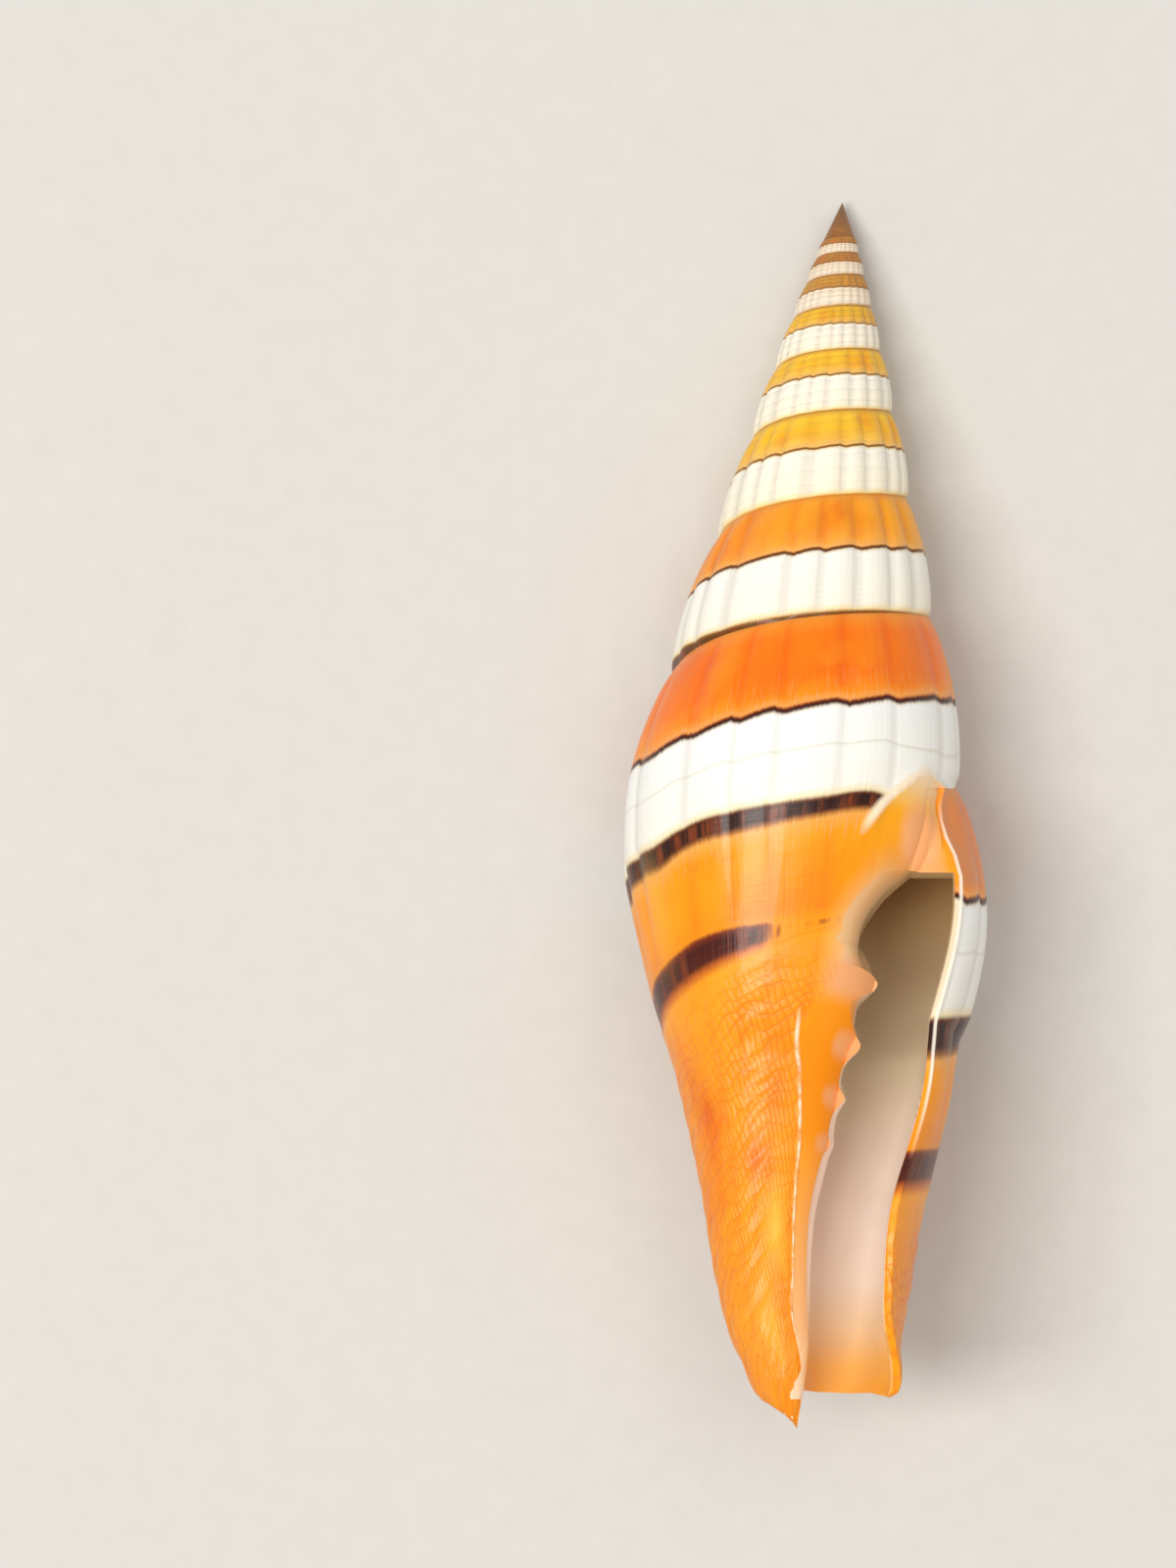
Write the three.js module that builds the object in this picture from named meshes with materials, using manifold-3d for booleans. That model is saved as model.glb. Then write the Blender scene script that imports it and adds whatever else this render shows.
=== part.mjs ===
// Vexillum taeniatum, a ribboned mitre shell, lying on its back with the aperture up.
// Millimetres, +Z up. The spire points to +Y, and the shell rests on the ground at z = 0.
//
// The shell is one body that grew along a spiral. Every point of its wall is given by the
// turn that it grew in (0 at the lip, -1 one turn earlier) and by its distance from the apex
// along the coiling axis.
import * as THREE from 'three';
import * as BufferGeometryUtils from 'three/addons/utils/BufferGeometryUtils.js';
import Module from 'manifold-3d';

// Coiling. The angle of the lip is measured from the right side of the shell towards the front.
const SUTURE_AT_LIP = 32.6;
const GROWTH_PER_TURN = 1.395;
const LIP_ANGLE = 38;
const LIP_LEAD_TURNS = 0.16;
const TURNS = 8.5;
const APEX_AT = 0.3;

// Ribs: as many on every whorl, broad, with narrow grooves between them. Their relief is a share
// of the whorl's radius, and they fade out on the base, below the place of the next suture.
const RIBS_PER_TURN = 18;
const RIB_RELIEF = 0.034;
const RIB_START = 0.1;
const RIB_STOP = 0.93;
const RIB_FADE_START = 1.05;
const RIB_FADE_END = 1.75;

// Bulge of a whorl between its two sutures, as a share of their distance
const SPIRE_BULGE = 0.072;
const BODY_BULGE = 0.098;
const SHOULDER_POWER = 0.8;
const SUTURE_POWER = 0.6;

// Aperture, inside of the last half turn
const LIP_THICKNESS = 0.6;
const WALL_THICKNESS = 0.95;
const THICKENING_TURNS = 0.1;
const LEAST_GAP = 0.3;
const MOUTH_TOP = 36.6;
const RUN_OUT_TURNS = 0.05;
const RUN_OUT_FROM = 33;
const RUN_OUT_TO = 37.2;
const RUN_OUT_STEP = 0.15;
const ROOF_THICKNESS = 2.4;
const ROOF_TURNS = 0.25;
const HOLLOW_END_TURN = -0.62;
const HOLLOW_BELOW_BASE = 68;
const HOLLOW_CLOSING_TURN = -0.42;
const HOLLOW_END_FLOOR = 47;
const MOUTH_DEPTH = 12;
const COLUMELLA_TAPER = 1.3;
const COLUMELLA_CORE = 1.1;
const FOLD_RISE_TURNS = 0.06;

// Columellar folds: distance from the apex at the lip, height and half width
const FOLDS = [
  { at: 43.3, height: 1.25, spread: 0.75 },
  { at: 46.6, height: 0.75, spread: 0.6 },
  { at: 49.3, height: 0.6, spread: 0.5 },
  { at: 51.7, height: 0.25, spread: 0.45 },
];

// Resting place: attitude of the coiling axis and depth of the worn flat spot
const REST_PITCH = 14.1;
const REST_ROLL = 3;
const FLAT_DEPTH = 0.28;

// Middle of the base's lower end
const BASE_MIDDLE = 64.9;

// Mesh density
const COLUMNS_PER_TURN = 72;
const WALL_ROWS = [0, 0.08, 0.3, 0.62, 0.93];
const BASE_ROWS = [0, 0.06, 0.14, 0.23, 0.33, 0.43, 0.53, 0.63, 0.73, 0.83, 0.92, 1];
const HOLLOW_STEPS = 20;
const FOLD_ROWS = [-1.6, -0.8, 0, 0.8, 1.6];
const MOUTH_ROWS = [MOUTH_TOP, 37.4, 38.4, 39.6, 40.8];
const CANAL_ROWS = [53.6, 55.5, 57.5, 60, 62.5, 65, HOLLOW_BELOW_BASE];
const HOLLOW_TURNS = [
  0, -0.035, -0.07, -0.105, -0.15, -0.2, -0.25, -0.3, -0.35, -0.4, -0.45, -0.5, -0.56, HOLLOW_END_TURN,
];

// Smooth curve through a few points, x rising, held level outside them
function through(points) {
  const slope = points.map((point, k) => {
    const before = points[Math.max(k - 1, 0)];
    const after = points[Math.min(k + 1, points.length - 1)];
    return (after[1] - before[1]) / (after[0] - before[0]);
  });
  return (x) => {
    const last = points.length - 1;
    if (x <= points[0][0]) return points[0][1];
    if (x >= points[last][0]) return points[last][1];
    const k = points.findIndex((point) => point[0] > x) - 1;
    const span = points[k + 1][0] - points[k][0];
    const s = (x - points[k][0]) / span;
    const rise = s * s * (3 - 2 * s);
    return points[k][1] * (1 - rise) + points[k + 1][1] * rise
      + span * s * (1 - s) * (slope[k] * (1 - s) - slope[k + 1] * s);
  };
}

// Radius of the wall on the suture line, and of the lip below it, by distance from the apex
const sutureRadius = through([
  [0, 0], [1.2, 0.5], [3.2, 1.08], [7.4, 2.26], [15.9, 4.4], [22.4, 6.05], [26.6, 7.1], [31.4, 8.05],
  [37.1, 8.92], [43.9, 9.64], [47.8, 9.7], [51.8, 9.05], [55, 8.55], [59.3, 7.7], [63.5, 6.25],
  [64.9, 5.5], [66.6, 3],
]);

// How much the base widens in one turn, by distance from the apex
const baseGrowth = through([
  [32.6, 1.6], [40, 1.8], [45.4, 2], [47.6, 2.5], [51.8, 3.1], [55, 3.8], [59.3, 4.3], [63.5, 5],
  [64.9, 6.5], [66.6, 12],
]);

// The siphonal canal leans to the lip side of the coiling axis
const canalLean = through([
  [47, 0], [51.8, 0.3], [55, 0.4], [57.1, 0.55], [59.3, 0.8], [61.4, 1.1], [63.5, 1.7], [66.6, 2.15],
]);

// Edge of the columella as seen into the mouth, between the folds
const columellaEdge = through([
  [36, 7.3], [37, 6.3], [38.7, 4.6], [40.7, 3.6], [43.3, 3.65], [45.5, 3.6], [48, 3.15], [50.7, 3],
  [53.3, 2.65], [55.5, 2.3], [58.1, 2.27], [61.6, 2.4], [63.9, 2.4], [66.7, 2.1],
]);

// End of the base by turn: the columella's tip, then the arched siphonal notch, then the lip
const baseEnd = through([
  [-1, 66.6], [-0.8, 66.4], [-0.606, 65.5], [-0.45, 64.2], [-0.33, 63.7], [-0.12, 64.1], [0, 64.8],
]);

// How far the lip's edge runs ahead of its mean angle, in degrees
const lipLead = through([[32.6, -10], [37, -8], [44, -2], [50, 0], [56, 7], [61, 2], [64.8, -18]]);

function smooth(from, to, x) {
  return THREE.MathUtils.smoothstep(x, from, to);
}

function sutureAt(turn) {
  return SUTURE_AT_LIP * GROWTH_PER_TURN ** turn;
}

function angleAt(turn, a) {
  return THREE.MathUtils.degToRad(LIP_ANGLE + 360 * turn + lipLead(a) * smooth(-LIP_LEAD_TURNS, 0, turn));
}

// Height of a rib over the mean wall, negative in the grooves
function ribHeight(turn, u) {
  const crest = Math.sqrt(Math.abs(Math.sin(Math.PI * RIBS_PER_TURN * turn)));
  const fade = turn > -1 ? smooth(RIB_FADE_START, RIB_FADE_END, u) : smooth(RIB_STOP, 1, u);
  return RIB_RELIEF * sutureRadius(sutureAt(turn)) * (crest - 0.5) * smooth(0, RIB_START, u) * (1 - fade);
}

// Radius of the base, which widens faster than the whorls above it
function baseRadius(turn, a) {
  const turnOnSuture = Math.min(0, Math.log(a / SUTURE_AT_LIP) / Math.log(GROWTH_PER_TURN) - 1);
  return sutureRadius(a) * baseGrowth(a) ** (turn - turnOnSuture);
}

// Radius of the outer wall. u is 0 at the suture above and 1 where the next suture is or would be.
function wallRadius(turn, a) {
  const top = sutureAt(turn);
  const bottom = sutureAt(turn + 1);
  const u = (a - top) / (bottom - top);
  if (u <= 1) {
    const bulge = THREE.MathUtils.lerp(SPIRE_BULGE, BODY_BULGE, smooth(-1.2, -0.1, turn));
    const lowerPower = THREE.MathUtils.lerp(SUTURE_POWER, 1, smooth(-1.05, -0.85, turn));
    const arch = Math.sin(Math.PI * Math.max(u, 0)) ** (u < 0.5 ? SHOULDER_POWER : lowerPower);
    const chord = THREE.MathUtils.lerp(sutureRadius(top), sutureRadius(bottom), u);
    return chord + bulge * (bottom - top) * arch + ribHeight(turn, u);
  }
  return baseRadius(turn, a) + ribHeight(turn, u);
}

// Radius of the outer wall where it nears the lip: above the mouth it runs out on the whorl before
function lipRadius(turn, a) {
  const whole = smooth(RUN_OUT_FROM, RUN_OUT_TO, a);
  const share = whole + (1 - whole) * smooth(0, RUN_OUT_TURNS, -turn);
  return THREE.MathUtils.lerp(wallRadius(turn - 1, a) + RUN_OUT_STEP, wallRadius(turn, a), share);
}

// Height of the columella's folds
function foldHeight(row) {
  return FOLDS.reduce((sum, one) => {
    const off = (row - one.at) / one.spread;
    return sum + one.height * Math.exp(-(off ** 2));
  }, 0);
}

// Place of a point on the shell, with the coiling axis along Y and the aperture facing +Z
function place(turn, a, radius) {
  const angle = angleAt(turn, a);
  return [canalLean(a) + radius * Math.cos(angle), -a, radius * Math.sin(angle)];
}

// Flat strip of faces between two rows of points that both run away from the apex
function stitch(inner, outer, positions) {
  const faces = [];
  const depth = (id) => -positions[3 * id + 1];
  let p = 0;
  let q = 0;
  while (p < inner.length - 1 || q < outer.length - 1) {
    const innerDone = p === inner.length - 1;
    const outerDone = q === outer.length - 1;
    const face = innerDone || (!outerDone && depth(outer[q + 1]) < depth(inner[p + 1]))
      ? [outer[q + 1], outer[q], inner[p]]
      : [inner[p], inner[p + 1], outer[q]];
    if (face[0] === outer[q + 1]) q += 1;
    else p += 1;
    if (new Set(face).size === 3) faces.push(...face);
  }
  return faces;
}

// Outer wall and end faces as one closed grid that follows the spiral.
// The lower edge of a column is the upper edge of the column one turn later.
function outerShell() {
  const columns = Math.round(TURNS * COLUMNS_PER_TURN);
  const lastTurn = columns - COLUMNS_PER_TURN;
  const rows = WALL_ROWS.length;
  const positions = [];
  const faces = [];
  const add = (point) => positions.push(...point) / 3 - 1;

  const wall = [];
  for (let i = 0; i <= columns; i += 1) {
    const turn = (i - columns) / COLUMNS_PER_TURN;
    const top = sutureAt(turn);
    const pitch = sutureAt(turn + 1) - top;
    const radius = turn > -RUN_OUT_TURNS ? lipRadius : wallRadius;
    wall.push(WALL_ROWS.map((u) => {
      const a = top + u * pitch;
      return add(place(turn, a, radius(turn, a)));
    }));
  }
  for (let i = 0; i <= lastTurn; i += 1) {
    wall[i].push(wall[i + COLUMNS_PER_TURN][0]);
  }
  for (let i = lastTurn; i <= columns; i += 1) {
    const turn = (i - columns) / COLUMNS_PER_TURN;
    const from = sutureAt(turn + 1);
    const to = baseEnd(turn);
    const firstRow = i === lastTurn ? 1 : 0;
    for (const v of BASE_ROWS.slice(firstRow)) {
      const a = THREE.MathUtils.lerp(from, to, v);
      wall[i].push(add(place(turn, a, turn > -RUN_OUT_TURNS ? lipRadius(turn, a) : wallRadius(turn, a))));
    }
  }

  for (let i = 0; i < columns; i += 1) {
    const height = Math.min(wall[i].length, wall[i + 1].length);
    for (let j = 0; j < height - 1; j += 1) {
      faces.push(wall[i][j], wall[i + 1][j], wall[i + 1][j + 1]);
      faces.push(wall[i][j], wall[i + 1][j + 1], wall[i][j + 1]);
    }
  }

  // Rounded tip of the spire
  const apex = add([0, -APEX_AT, 0]);
  for (let i = 0; i < COLUMNS_PER_TURN; i += 1) {
    faces.push(wall[i + 1][0], wall[i][0], apex);
  }
  for (let j = 0; j < rows; j += 1) {
    faces.push(wall[0][j], wall[0][j + 1], apex);
  }

  // End of the last whorl at the lip, from the suture down to the base
  faces.push(...stitch(wall[lastTurn].slice(rows), wall[columns], positions));

  // Lower end of the base
  const middle = add([canalLean(BASE_MIDDLE), -BASE_MIDDLE, 0]);
  const rim = wall.slice(lastTurn).map((column) => column[column.length - 1]);
  rim.push(rim[0]);
  for (let i = 0; i < rim.length - 1; i += 1) {
    faces.push(rim[i], rim[i + 1], middle);
  }
  return solidOf(positions, faces);
}

// Hollow of the last half turn: the mouth, the siphonal canal and the way up into the whorl
function hollow() {
  const positions = [];
  const faces = [];
  const add = (point) => positions.push(...point) / 3 - 1;
  const foldRows = FOLDS.flatMap((fold) => FOLD_ROWS.map((k) => fold.at + k * fold.spread));
  const innerRows = [...MOUTH_ROWS, ...foldRows, ...CANAL_ROWS];

  const loops = HOLLOW_TURNS.map((turn) => {
    const inside = smooth(0, ROOF_TURNS, -turn);
    const closing = smooth(-HOLLOW_CLOSING_TURN, -HOLLOW_END_TURN, -turn);
    const top = THREE.MathUtils.lerp(MOUTH_TOP, sutureAt(turn) + ROOF_THICKNESS, inside);
    const floor = THREE.MathUtils.lerp(HOLLOW_BELOW_BASE, HOLLOW_END_FLOOR, closing);
    const wall = THREE.MathUtils.lerp(LIP_THICKNESS, WALL_THICKNESS, smooth(0, THICKENING_TURNS, -turn));
    const span = (floor - top) / (HOLLOW_BELOW_BASE - MOUTH_TOP);
    const outerAt = (a) => wallRadius(turn, Math.min(a, baseEnd(turn))) - ribHeight(turn, 0.5) - wall;
    const innerAt = (a, row) => {
      const angle = angleAt(turn, a);
      const reach = angle > 0 ? 1 / Math.cos(angle) : COLUMELLA_TAPER ** (angle / (2 * Math.PI));
      const seen = (columellaEdge(row) - canalLean(row)) * reach;
      const coiled = Math.max(baseRadius(turn - 1, Math.max(a, SUTURE_AT_LIP)), COLUMELLA_CORE);
      const fold = foldHeight(row) * smooth(0, FOLD_RISE_TURNS, -turn);
      return Math.min(Math.min(seen, coiled) + fold, outerAt(a) - LEAST_GAP);
    };
    const loop = [];
    for (const row of innerRows) {
      const a = top + (row - MOUTH_TOP) * span;
      loop.push(place(turn, a, innerAt(a, row)));
    }
    for (let k = 0; k <= HOLLOW_STEPS; k += 1) {
      const a = THREE.MathUtils.lerp(floor, top, k / HOLLOW_STEPS);
      loop.push(place(turn, a, outerAt(a)));
    }
    return loop;
  });

  // The mouth is open to the front, straight ahead of the lip
  loops.unshift(loops[0].map(([x, y]) => [x, y, MOUTH_DEPTH]));

  const ids = loops.map((loop) => loop.map(add));
  const count = ids[0].length;
  for (let i = 0; i < ids.length - 1; i += 1) {
    for (let k = 0; k < count; k += 1) {
      const next = (k + 1) % count;
      faces.push(ids[i][k], ids[i + 1][next], ids[i][next]);
      faces.push(ids[i][k], ids[i + 1][k], ids[i + 1][next]);
    }
  }
  const ends = [ids[0], ids[ids.length - 1]].map((loop) => {
    const inner = loop.slice(0, innerRows.length);
    const outer = loop.slice(innerRows.length).reverse();
    return stitch(inner, outer, positions);
  });
  faces.push(...ends[0], ...ends[1].reverse());
  return solidOf(positions, faces);
}

const wasm = await Module();
wasm.setup();

function solidOf(positions, faces) {
  const geometry = new THREE.BufferGeometry();
  geometry.setAttribute('position', new THREE.Float32BufferAttribute(positions, 3));
  geometry.setIndex(faces);
  return solid(geometry);
}

function solid(geometry) {
  const bare = geometry.clone();
  bare.deleteAttribute('normal');
  bare.deleteAttribute('uv');
  const merged = BufferGeometryUtils.mergeVertices(bare);
  return new wasm.Manifold(new wasm.Mesh({
    numProp: 3,
    vertProperties: new Float32Array(merged.attributes.position.array),
    triVerts: new Uint32Array(merged.index.array),
  }));
}

function geometryOf(body) {
  const mesh = body.getMesh();
  const geometry = new THREE.BufferGeometry();
  geometry.setAttribute('position', new THREE.Float32BufferAttribute(mesh.vertProperties, 3));
  geometry.setIndex(Array.from(mesh.triVerts));
  return geometry;
}

// Laid on its back, worn flat where it rests, and centred over the middle of its outline
function layDown(body) {
  const geometry = geometryOf(body);
  geometry.rotateY(THREE.MathUtils.degToRad(REST_ROLL));
  geometry.rotateX(THREE.MathUtils.degToRad(-REST_PITCH));
  geometry.computeBoundingBox();
  const box = geometry.boundingBox;
  geometry.translate(0, 0, -box.min.z - FLAT_DEPTH);
  const ground = new THREE.BoxGeometry(100, 200, 20);
  ground.translate(0, 0, -10);
  const flat = geometryOf(solid(geometry).subtract(solid(ground)));
  flat.computeBoundingBox();
  const middle = flat.boundingBox.getCenter(new THREE.Vector3());
  flat.translate(-middle.x, -middle.y, 0);
  return flat.toNonIndexed();
}

const geometry = layDown(outerShell().subtract(hollow()));
geometry.computeVertexNormals();
const shell = new THREE.Mesh(
  geometry,
  new THREE.MeshStandardMaterial({ color: 0xe8861e, roughness: 0.3, metalness: 0 }),
);
shell.name = 'shell';

const group = new THREE.Group();
group.add(shell);

export default group;
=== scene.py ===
"""A ribboned mitre shell, Vexillum taeniatum, lying on its back with the aperture up.

Metres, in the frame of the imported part: +Z up, the spire towards +Y, the shell resting on z = 0.
The shell grew along one spiral, so its skin is made in mesh code from the same growth curves as
the solid part: a point is given by the turn it grew in (0 at the lip, -1 one turn earlier) and by
its distance from the apex along the coiling axis. The growth curves are in millimetres.
"""
import math
from functools import partial
from types import SimpleNamespace

import bpy
import numpy as np
from bpy.props import FloatProperty, FloatVectorProperty, IntProperty, PointerProperty
from bpy.types import Operator, Panel, PropertyGroup
from mathutils import Matrix, Vector


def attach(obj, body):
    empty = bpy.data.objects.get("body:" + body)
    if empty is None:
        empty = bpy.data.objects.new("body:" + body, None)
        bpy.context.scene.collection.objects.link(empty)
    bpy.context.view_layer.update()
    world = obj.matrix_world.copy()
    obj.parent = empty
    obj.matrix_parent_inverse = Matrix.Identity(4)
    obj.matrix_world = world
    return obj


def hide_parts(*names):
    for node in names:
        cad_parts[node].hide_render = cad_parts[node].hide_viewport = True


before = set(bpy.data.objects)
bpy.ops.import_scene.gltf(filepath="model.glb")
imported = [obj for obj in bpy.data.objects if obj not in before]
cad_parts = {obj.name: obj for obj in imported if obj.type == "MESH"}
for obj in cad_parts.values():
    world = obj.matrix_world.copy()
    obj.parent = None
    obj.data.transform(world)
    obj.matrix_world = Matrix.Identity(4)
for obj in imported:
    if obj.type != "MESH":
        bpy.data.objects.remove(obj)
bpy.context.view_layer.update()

bl_info = {
    "name": "Ribboned Mitre Shell",
    "version": (1, 0, 0),
    "blender": (4, 5, 0),
    "location": "View3D > Sidebar > Shell",
    "description": "Builds a ribboned mitre shell and a small studio around it",
    "category": "Mesh",
}

MM = 0.001


def linear(code):
    """Linear colour of an sRGB hex value."""
    parts = [int(code[k : k + 2], 16) / 255 for k in (0, 2, 4)]
    return tuple(c / 12.92 if c <= 0.04045 else ((c + 0.055) / 1.055) ** 2.4 for c in parts)


# Growth curves, shared with the solid part


def through(*points):
    """Smooth curve through a few points, x rising, held level outside them."""
    xs, ys = np.array(points, float).T
    last = len(xs) - 1
    before = np.clip(np.arange(last + 1) - 1, 0, last)
    after = np.clip(np.arange(last + 1) + 1, 0, last)
    slope = (ys[after] - ys[before]) / (xs[after] - xs[before])

    def curve(x):
        x = np.clip(x, xs[0], xs[-1])
        k = np.clip(np.searchsorted(xs, x, side="right") - 1, 0, last - 1)
        span = xs[k + 1] - xs[k]
        s = (x - xs[k]) / span
        rise = s * s * (3 - 2 * s)
        bend = span * s * (1 - s) * (slope[k] * (1 - s) - slope[k + 1] * s)
        return ys[k] * (1 - rise) + ys[k + 1] * rise + bend

    return curve


def smooth(low, high, x):
    t = np.clip((np.asarray(x, float) - low) / (high - low), 0, 1)
    return t * t * (3 - 2 * t)


def mix(a, b, t):
    return a * (1 - t) + b * t


SUTURE_AT_LIP = 32.6
GROWTH = 1.395
LIP_ANGLE = 38
LIP_LEAD_TURNS = 0.16
TURNS = 8.5
APEX_AT = 0.3
BASE_MIDDLE = 64.9
MOUTH_TOP = 37.3
HOLLOW_END = -0.62
HOLLOW_FLOOR = 68

# About the length of a turn at the lip
AROUND_LIP = 60

# Rows of the skin from suture to suture, rows of the base, steps from the start of the last whorl
# to its lip, and steps down the outer wall of the hollow
WALL_SHARES = (
    0, 0.015, 0.04, 0.08, 0.14, 0.21, 0.29, 0.38, 0.47, 0.56, 0.65, 0.74, 0.82, 0.89, 0.94, 0.975,
)
BASE_ROWS = 100
BRIDGE_STEPS = 7
OUTER_STEPS = 70

# Columella folds: distance from the apex, height and half width
FOLDS = ((43.3, 1.25, 0.75), (46.6, 0.75, 0.6), (49.3, 0.6, 0.5), (51.7, 0.25, 0.45))

# How the shell lies: roll and pitch of its axis, then its shift
REST_ROLL = 3
REST_PITCH = -14.1
REST_SHIFT = (-0.5587, 32.3816, 0.6824)

# How the picture sees the upright shell: its turn, its lean and the middle of the picture
VIEW_TURN = -4.2
VIEW_LEAN = -13
VIEW_MIDDLE = (-13.505, -31.134, 7.4)

suture_radius = through(
    (0, 0), (1.2, 0.5), (3.2, 1.08), (7.4, 2.26), (15.9, 4.4), (22.4, 6.05), (26.6, 7.1),
    (31.4, 8.05), (37.1, 8.92), (43.9, 9.64), (47.8, 9.7), (51.8, 9.05), (55, 8.55),
    (59.3, 7.7), (63.5, 6.25), (64.9, 5.5), (66.6, 3),
)
base_growth = through(
    (32.6, 1.6), (40, 1.8), (45.4, 2), (47.6, 2.5), (51.8, 3.1), (55, 3.8), (59.3, 4.3),
    (63.5, 5), (64.9, 6.5), (66.6, 12),
)
canal_lean = through(
    (47, 0), (51.8, 0.3), (55, 0.4), (57.1, 0.55), (59.3, 0.8), (61.4, 1.1), (63.5, 1.7),
    (66.6, 2.15),
)
columella_edge = through(
    (36, 7.3), (37, 6.3), (38.7, 4.6), (40.7, 3.6), (43.3, 3.65), (45.5, 3.6), (48, 3.15),
    (50.7, 3), (53.3, 2.65), (55.5, 2.3), (58.1, 2.27), (61.6, 2.4), (63.9, 2.4), (66.7, 2.1),
)
base_end = through(
    (-1, 66.6), (-0.8, 66.4), (-0.606, 65.5), (-0.45, 64.2), (-0.33, 63.7), (-0.12, 64.1),
    (0, 64.8),
)
lip_lead = through((32.6, -10), (37, -8), (44, -2), (50, 0), (56, 7), (61, 2), (64.8, -18))

# Where the colour bands run, by turn, as shares of the way between two sutures
fine_line = through(
    (-9, 0.44), (-3.86, 0.43), (-2.86, 0.445), (-1.86, 0.468), (-1.4, 0.49), (-1.076, 0.5),
    (-1.038, 0.505), (-0.987, 0.52), (-0.923, 0.535), (-0.872, 0.545), (-0.8, 0.56),
    (-0.72, 0.59), (-0.68, 0.605), (-0.64, 0.56), (-0.5, 0.5), (-0.3, 0.48), (0, 0.484),
)
upper_band_top = through(
    (-9, 1.02), (-2.1, 1.01), (-1.9, 0.985), (-1.72, 0.965), (-1.6, 0.925), (-1.5, 0.93),
    (-1.36, 0.945), (-1.25, 0.92), (-1.13, 0.93), (-1.07, 1.25), (-0.99, 1.2), (-0.93, 1.065),
    (-0.87, 1.072), (-0.8, 1.068), (-0.735, 1.066), (-0.69, 1.09), (-0.66, 1.07), (-0.55, 1.02),
    (-0.3, 0.99), (0, 1.0),
)
upper_band_end = through(
    (-9, 1.12), (-1.2, 1.05), (-1.07, 1.35), (-0.99, 1.3), (-0.93, 1.15), (-0.87, 1.155),
    (-0.8, 1.17), (-0.735, 1.16), (-0.69, 1.2), (-0.66, 1.17), (-0.4, 1.1), (0, 1.155),
)
lower_band_top = through(
    (-9, 1.62), (-0.87, 1.72), (-0.83, 1.685), (-0.78, 1.645), (-0.73, 1.628), (-0.68, 1.64),
    (-0.3, 1.6), (0, 1.55),
)
lower_band_end = through(
    (-9, 1.73), (-0.87, 1.75), (-0.83, 1.775), (-0.78, 1.79), (-0.7, 1.8), (-0.3, 1.74),
    (0, 1.71),
)

# Ribs are strong at the sides of the last whorl and weak on its front and back
rib_strength = through(
    (-9, 1.4), (-3, 1.5), (-2, 1.5), (-1.4, 1.2), (-1.1, 0.9), (-0.9, 0.45), (-0.82, 0.5),
    (-0.75, 0.8), (-0.66, 1.3), (-0.6, 1.9), (-0.55, 1), (-0.4, 0.5), (-0.2, 0.6), (0, 0.9),
)

# Edge of the callus beside the mouth: the turn on the wall below it, by distance from the apex
callus_edge = through(
    (31.6, -1.02), (32.1, -0.987), (33.7, -0.948), (35.1, -0.928), (37, -0.912), (40.8, -0.878),
    (46.4, -0.872), (48.5, -0.884), (52.8, -0.895), (58.5, -0.897), (60.3, -0.886),
    (61.9, -0.896), (66, -0.91),
)


def suture_at(turn):
    return SUTURE_AT_LIP * GROWTH**turn


def share_of(turn, a):
    """Share of the way from the suture above to the suture below, over 1 on the base."""
    top = suture_at(turn)
    return (a - top) / (suture_at(turn + 1) - top)


def angle_at(turn, a):
    lead = lip_lead(a) * smooth(-LIP_LEAD_TURNS, 0, turn)
    return np.radians(LIP_ANGLE + 360 * turn + lead)


def rib_phase(turn, sizes):
    """Number of ribs passed, a few more to the turn on the early whorls, and a little uneven."""
    uneven = 0.16 * np.sin(turn * 23.1) + 0.11 * np.sin(turn * 41.7 + 1.3)
    return sizes.ribs * turn - sizes.rib_change * turn**2 + uneven


def rib_crest(turn, sizes):
    """1 on a rib, near 0 in the groove beside it: rounded on the spire, flatter on the body."""
    power = mix(0.5, 0.25, smooth(-2.4, -1.1, turn))
    return (np.sin(np.pi * rib_phase(turn, sizes)) ** 2 + 0.012) ** power


def rib_height(turn, u, sizes):
    fade = np.where(turn > -1, smooth(1.05, 1.75, u), smooth(0.93, 1, u))
    height = sizes.rib_relief * suture_radius(suture_at(turn))
    depth = rib_strength(turn) * (1 - rib_crest(turn, sizes))
    return height * (0.4 - depth) * smooth(0, 0.1, u) * (1 - fade)


def base_radius(turn, a):
    on_suture = np.minimum(0, np.log(a / SUTURE_AT_LIP) / math.log(GROWTH) - 1)
    return suture_radius(a) * base_growth(a) ** (turn - on_suture)


def spiral_of(turn, a):
    """The same along one growth spiral: 0 on the suture, 1 on the next, more on the base."""
    return np.log(a / SUTURE_AT_LIP) / math.log(GROWTH) - turn


def cord_height(turn, a, sizes):
    """Broad, wavy spiral cords of the base."""
    spiral = spiral_of(turn, a)
    wave = 0.35 * np.sin(turn * 37) + 0.25 * np.sin(turn * 61 + 2)
    cord = np.abs(np.sin(np.pi * spiral / (2 * sizes.cord_spacing) + wave)) ** 0.8
    return sizes.cord_relief / MM * (cord - 0.6) * smooth(1.5, 1.75, spiral)


def callus_mask(turn, a):
    """1 on the glaze beside the mouth, 0 off it."""
    softness = 0.012 + 0.06 * smooth(35.5, 38, a) * (1 - smooth(43.5, 46.5, a))
    inside = smooth(0, 1, (callus_edge(a) - turn) / softness)
    return inside * smooth(-1.02, -1.004, turn) * smooth(31.7, 32.6, a)


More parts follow.
